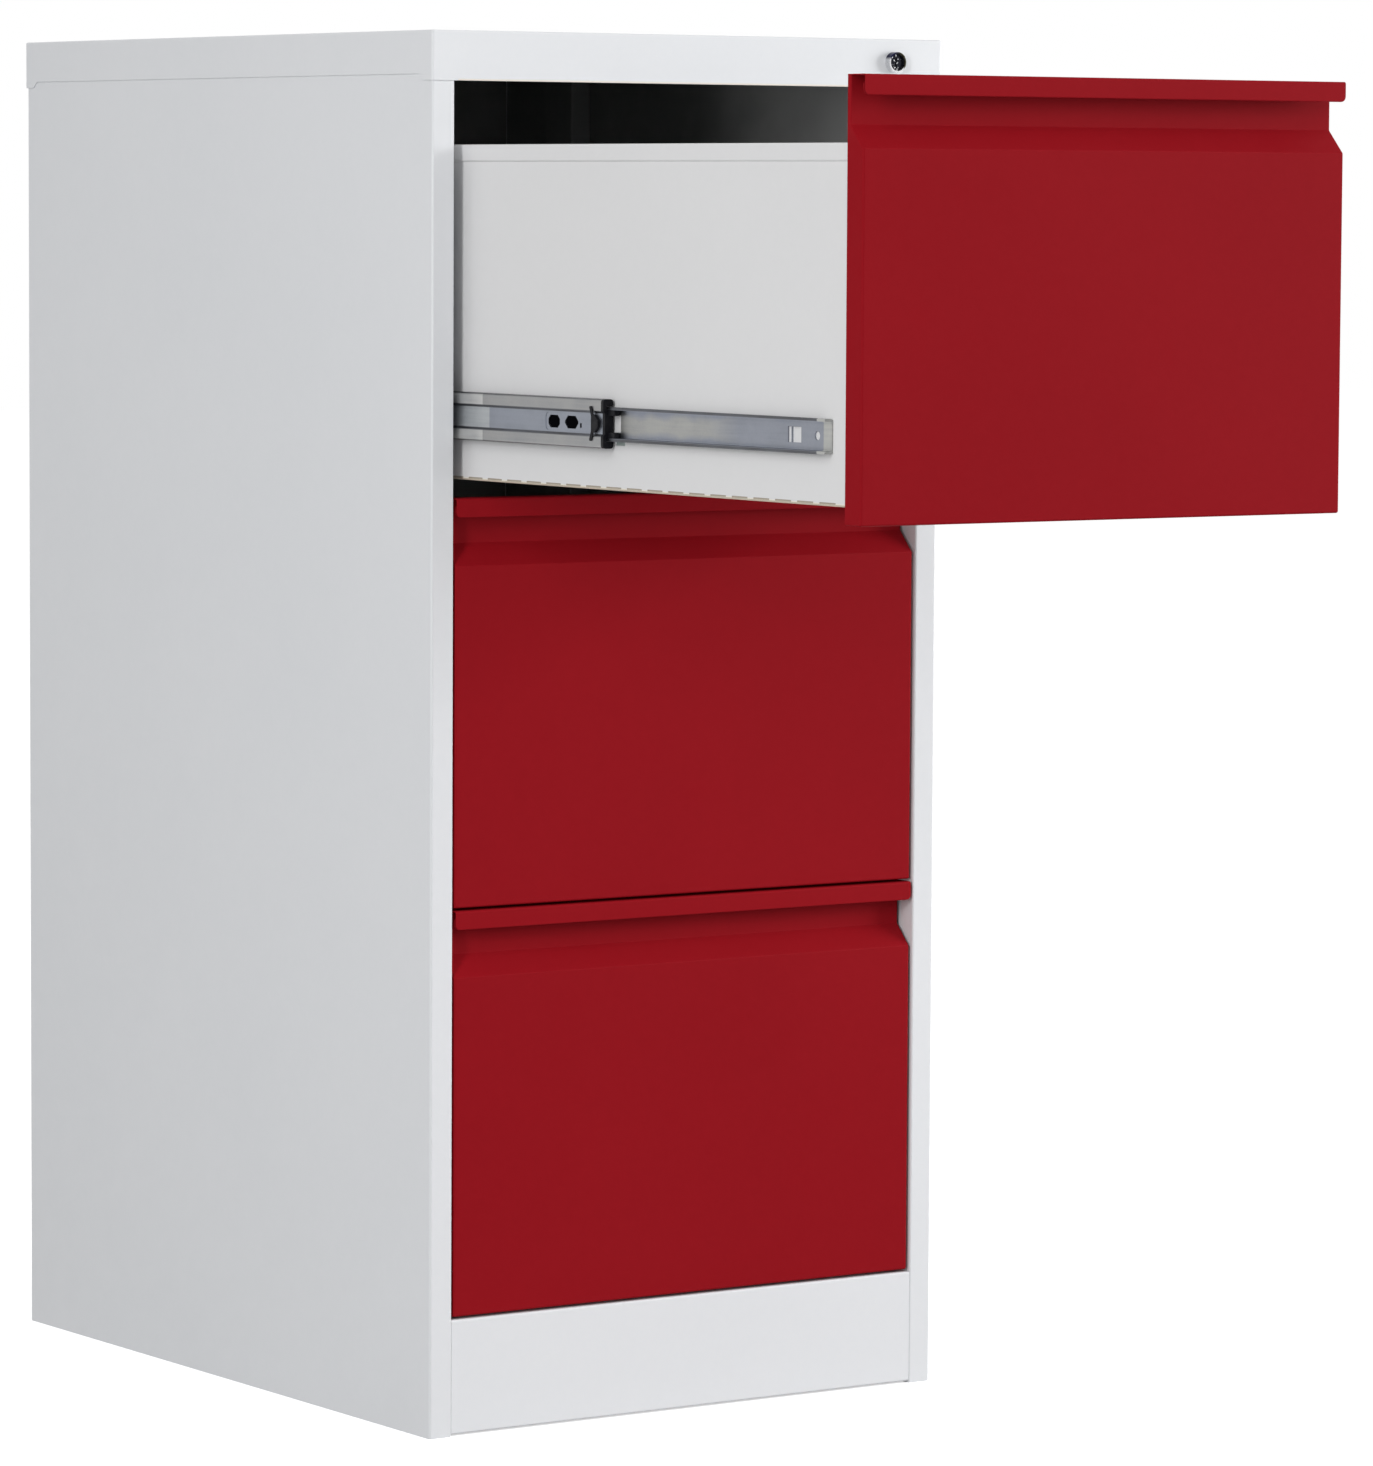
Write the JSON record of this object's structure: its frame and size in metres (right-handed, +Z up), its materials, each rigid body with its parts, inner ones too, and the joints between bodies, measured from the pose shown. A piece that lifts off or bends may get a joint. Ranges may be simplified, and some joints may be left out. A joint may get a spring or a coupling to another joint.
{
  "type": "filing cabinet",
  "caption": "Floor-standing steel filing cabinet with lockable drawers on telescopic ball-bearing slides, folded finger-grip fronts, and its top drawer pulled out.",
  "frame": {"origin": "on the floor, under the middle of the cabinet's footprint, with the drawers shut or open", "axes": "+Z up, +Y towards the back, +X to the right as seen by someone in front; drawers open along -Y"},
  "size_m": [0.46, 1.1307, 1.04],
  "materials": {
    "body_paint": "smooth white powder coat, slightly cool",
    "front_paint": "smooth dark red powder coat",
    "drawer_paint": "smooth off-white powder coat",
    "liner_paint": "smooth white powder coat",
    "zinc_steel": "bright zinc plate with a faint blue cast",
    "ball_steel": "polished hardened steel",
    "black_plastic": "moulded black plastic",
    "lock_chrome": "polished nickel and chrome plate"
  },
  "bodies": {
    "cabinet": {"left_side_panel": "body_paint", "right_side_panel": "body_paint", "back_panel": "body_paint", "top_cap": "body_paint", "plinth": "body_paint", "base_pan": "body_paint", "left_front_upright": "body_paint", "right_front_upright": "body_paint", "left_rear_upright": "body_paint", "right_rear_upright": "body_paint", "top_front_rail": "body_paint", "lock_bracket": "body_paint", "lock_housing": "lock_chrome", "lock_nut": "zinc_steel", "lock_bar_guides": "zinc_steel", "bottom_left_cabinet_member": "zinc_steel", "bottom_right_cabinet_member": "zinc_steel", "middle_left_cabinet_member": "zinc_steel", "middle_right_cabinet_member": "zinc_steel", "top_left_cabinet_member": "zinc_steel", "top_right_cabinet_member": "zinc_steel"},
    "bottom_drawer": {"bottom_drawer_front": "front_paint", "bottom_front_liner": "liner_paint", "bottom_tray": "drawer_paint", "bottom_tray_back": "drawer_paint", "bottom_striker": "zinc_steel", "bottom_left_drawer_member": "zinc_steel", "bottom_right_drawer_member": "zinc_steel"},
    "bottom_middle_members": {"bottom_left_middle_member": "zinc_steel", "bottom_right_middle_member": "zinc_steel", "bottom_slide_bumpers": "black_plastic"},
    "bottom_outer_retainers": {"bottom_outer_ball_retainers": "ball_steel"},
    "bottom_inner_retainers": {"bottom_inner_ball_retainers": "ball_steel"},
    "middle_drawer": {"middle_drawer_front": "front_paint", "middle_front_liner": "liner_paint", "middle_tray": "drawer_paint", "middle_tray_back": "drawer_paint", "middle_striker": "zinc_steel", "middle_left_drawer_member": "zinc_steel", "middle_right_drawer_member": "zinc_steel"},
    "middle_middle_members": {"middle_left_middle_member": "zinc_steel", "middle_right_middle_member": "zinc_steel", "middle_slide_bumpers": "black_plastic"},
    "middle_outer_retainers": {"middle_outer_ball_retainers": "ball_steel"},
    "middle_inner_retainers": {"middle_inner_ball_retainers": "ball_steel"},
    "top_drawer": {"top_drawer_front": "front_paint", "top_front_liner": "liner_paint", "top_tray": "drawer_paint", "top_tray_back": "drawer_paint", "top_striker": "zinc_steel", "top_left_drawer_member": "zinc_steel", "top_right_drawer_member": "zinc_steel"},
    "top_middle_members": {"top_left_middle_member": "zinc_steel", "top_right_middle_member": "zinc_steel", "top_slide_bumpers": "black_plastic"},
    "top_outer_retainers": {"top_outer_ball_retainers": "ball_steel"},
    "top_inner_retainers": {"top_inner_ball_retainers": "ball_steel"},
    "lock_plug": {"lock_plug": "lock_chrome", "lock_cam": "zinc_steel"},
    "lock_bar": {"lock_bar": "zinc_steel"}
  },
  "joints": [
    {"name": "bottom_drawer_slide", "type": "slide", "parent": "cabinet", "child": "bottom_drawer", "axis": [0, -1, 0], "range_m": [0, 0.511]},
    {"name": "bottom_middle_members_slide", "type": "slide", "parent": "cabinet", "child": "bottom_middle_members", "axis": [0, -1, 0], "range_m": [0, 0.256]},
    {"name": "bottom_outer_retainers_slide", "type": "slide", "parent": "cabinet", "child": "bottom_outer_retainers", "axis": [0, -1, 0], "range_m": [0, 0.12825]},
    {"name": "bottom_inner_retainers_slide", "type": "slide", "parent": "cabinet", "child": "bottom_inner_retainers", "axis": [0, -1, 0], "range_m": [0, 0.38375]},
    {"name": "middle_drawer_slide", "type": "slide", "parent": "cabinet", "child": "middle_drawer", "axis": [0, -1, 0], "range_m": [0, 0.511]},
    {"name": "middle_middle_members_slide", "type": "slide", "parent": "cabinet", "child": "middle_middle_members", "axis": [0, -1, 0], "range_m": [0, 0.256]},
    {"name": "middle_outer_retainers_slide", "type": "slide", "parent": "cabinet", "child": "middle_outer_retainers", "axis": [0, -1, 0], "range_m": [0, 0.12825]},
    {"name": "middle_inner_retainers_slide", "type": "slide", "parent": "cabinet", "child": "middle_inner_retainers", "axis": [0, -1, 0], "range_m": [0, 0.38375]},
    {"name": "top_drawer_slide", "type": "slide", "parent": "cabinet", "child": "top_drawer", "axis": [0, -1, 0], "range_m": [-0.511, 0]},
    {"name": "top_middle_members_slide", "type": "slide", "parent": "cabinet", "child": "top_middle_members", "axis": [0, -1, 0], "range_m": [-0.256, 0]},
    {"name": "top_outer_retainers_slide", "type": "slide", "parent": "cabinet", "child": "top_outer_retainers", "axis": [0, -1, 0], "range_m": [-0.12825, 0]},
    {"name": "top_inner_retainers_slide", "type": "slide", "parent": "cabinet", "child": "top_inner_retainers", "axis": [0, -1, 0], "range_m": [-0.38375, 0]},
    {"name": "lock_bar_lift", "type": "slide", "parent": "cabinet", "child": "lock_bar", "axis": [0, 0, 1], "range_m": [0, 0.01]},
    {"name": "lock_turn", "type": "hinge", "parent": "cabinet", "child": "lock_plug", "pos_m": [0.1847, -0.3, 1.0224], "axis": [0, 1, 0], "range_deg": [0, 90.5]}
  ],
  "couplings": [
    {"joint": "bottom_middle_members_slide", "follows": "bottom_drawer_slide", "ratio": 0.5},
    {"joint": "bottom_outer_retainers_slide", "follows": "bottom_drawer_slide", "ratio": 0.25},
    {"joint": "bottom_inner_retainers_slide", "follows": "bottom_drawer_slide", "ratio": 0.75},
    {"joint": "middle_middle_members_slide", "follows": "middle_drawer_slide", "ratio": 0.5},
    {"joint": "middle_outer_retainers_slide", "follows": "middle_drawer_slide", "ratio": 0.25},
    {"joint": "middle_inner_retainers_slide", "follows": "middle_drawer_slide", "ratio": 0.75},
    {"joint": "top_middle_members_slide", "follows": "top_drawer_slide", "ratio": 0.5},
    {"joint": "top_outer_retainers_slide", "follows": "top_drawer_slide", "ratio": 0.25},
    {"joint": "top_inner_retainers_slide", "follows": "top_drawer_slide", "ratio": 0.75},
    {"joint": "lock_turn", "follows": "lock_bar_lift", "rad_per_m": 157.08}
  ]
}
